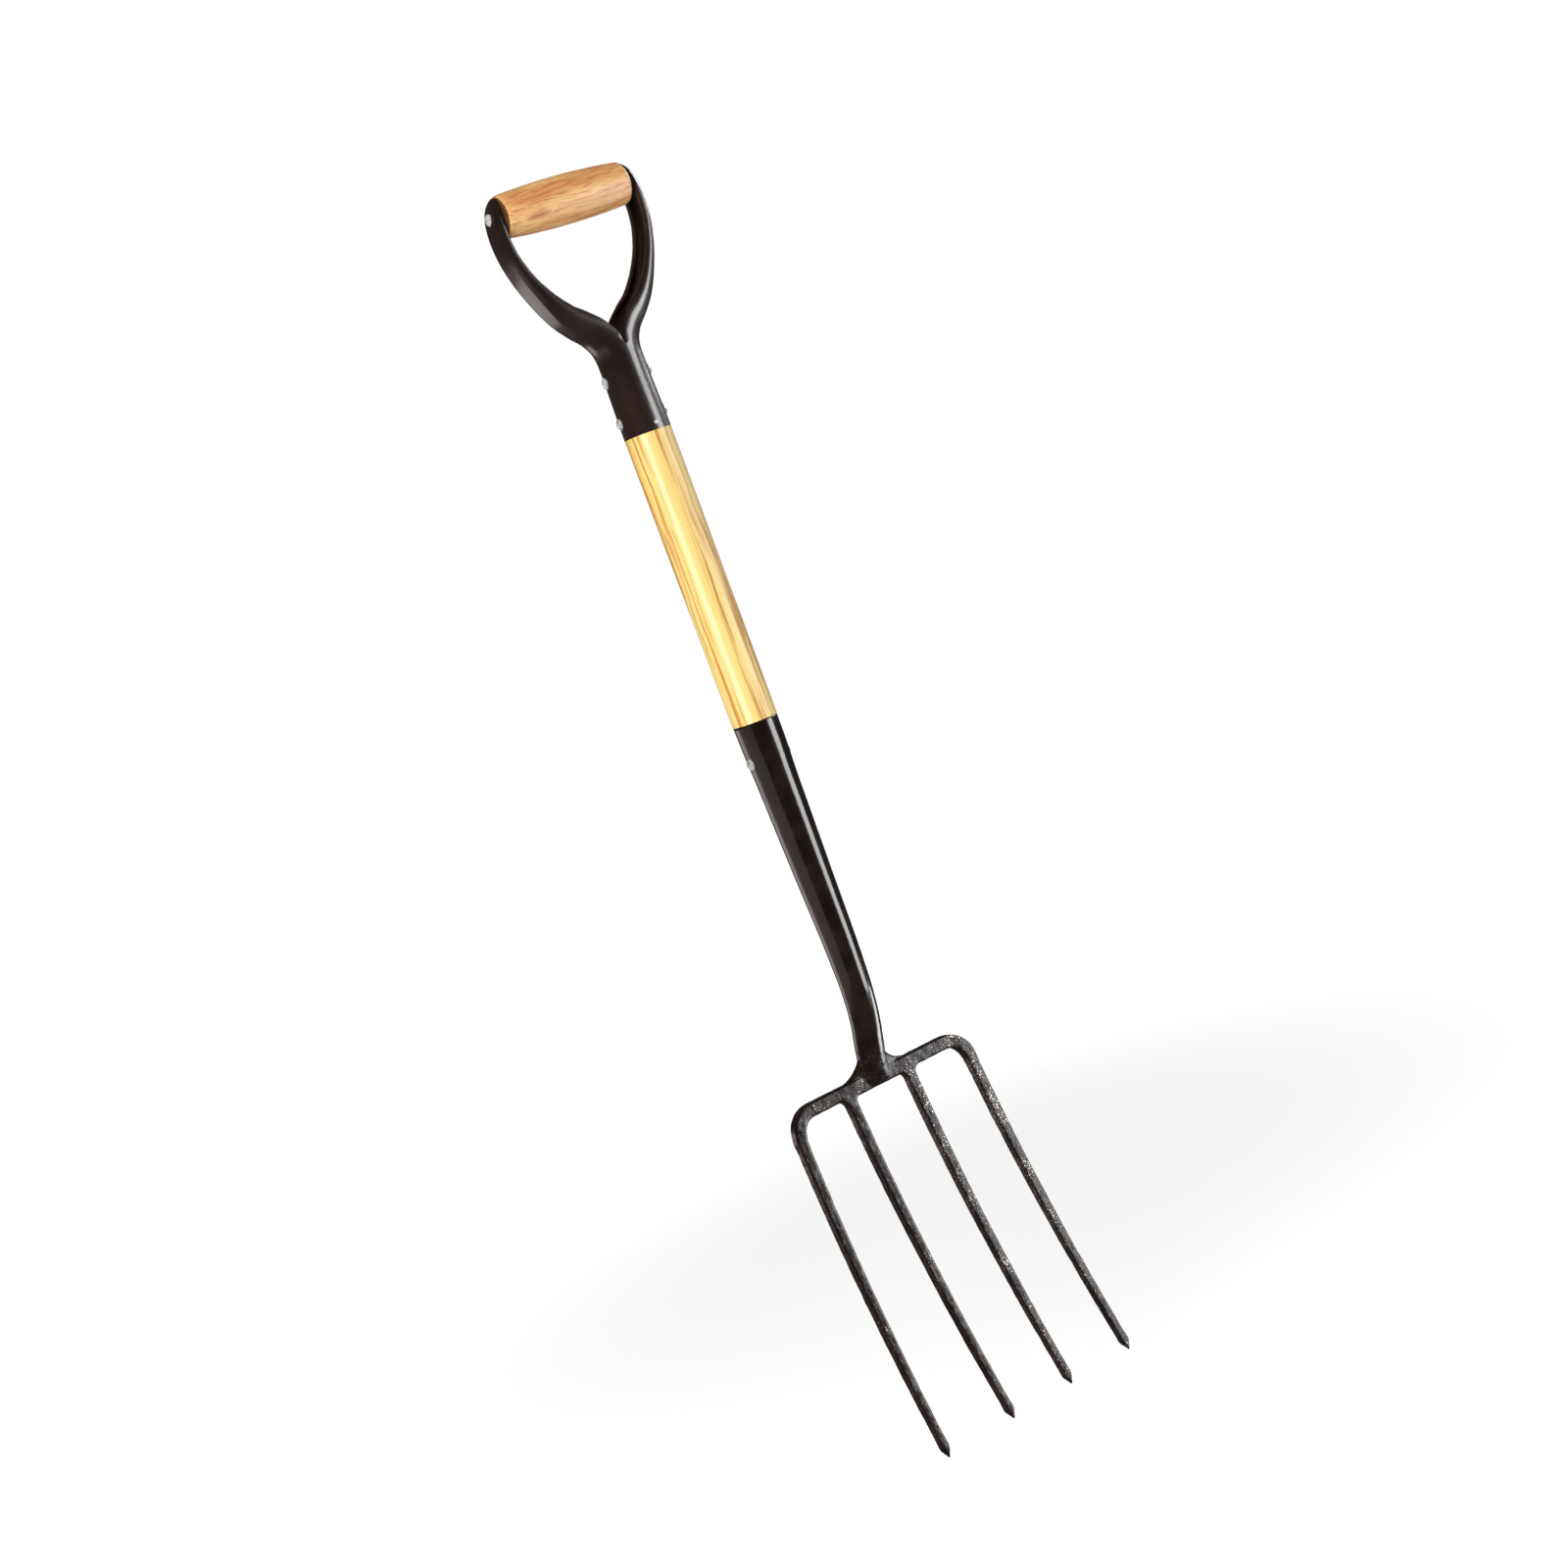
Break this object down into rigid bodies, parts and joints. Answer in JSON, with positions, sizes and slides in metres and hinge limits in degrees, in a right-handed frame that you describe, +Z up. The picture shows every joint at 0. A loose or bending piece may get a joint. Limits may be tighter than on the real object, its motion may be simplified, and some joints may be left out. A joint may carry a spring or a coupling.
{
  "type": "digging fork",
  "caption": "Garden digging fork: a forged head of curved square tines on a cranked neck, a straight ash shaft and a riveted steel D handle with a turned wooden grip.",
  "frame": {"origin": "the point under the middle of the grip where a wall peg carries the tool", "axes": "+Z up the tool from the tine tips to the grip, -Y is the front that the tines curve towards, +X is to the right seen from the front"},
  "size_m": [0.1893, 0.0766, 1.0056],
  "materials": {
    "forged_steel": "hammered black-brown paint over the forging, semi gloss",
    "yoke_enamel": "smooth gloss black-brown enamel",
    "ash_wood": "clear varnished pale ash, straight grain along the shaft",
    "grip_wood": "varnished orange-brown turned hardwood",
    "rivet_steel": "plain bright steel, peened"
  },
  "bodies": {
    "fork": {"fork_head": "forged_steel", "shaft": "ash_wood", "yoke": "yoke_enamel", "grip_rod": "rivet_steel", "yoke_rivet_upper": "rivet_steel", "yoke_rivet_lower": "rivet_steel", "head_rivet": "rivet_steel", "yoke_nail": "rivet_steel"},
    "grip": {"grip": "grip_wood"}
  },
  "joints": [
    {"name": "grip_turn", "type": "hinge", "parent": "fork", "child": "grip", "pos_m": [0, 0, 0.0187], "axis": [1, 0, 0], "continuous": true}
  ]
}
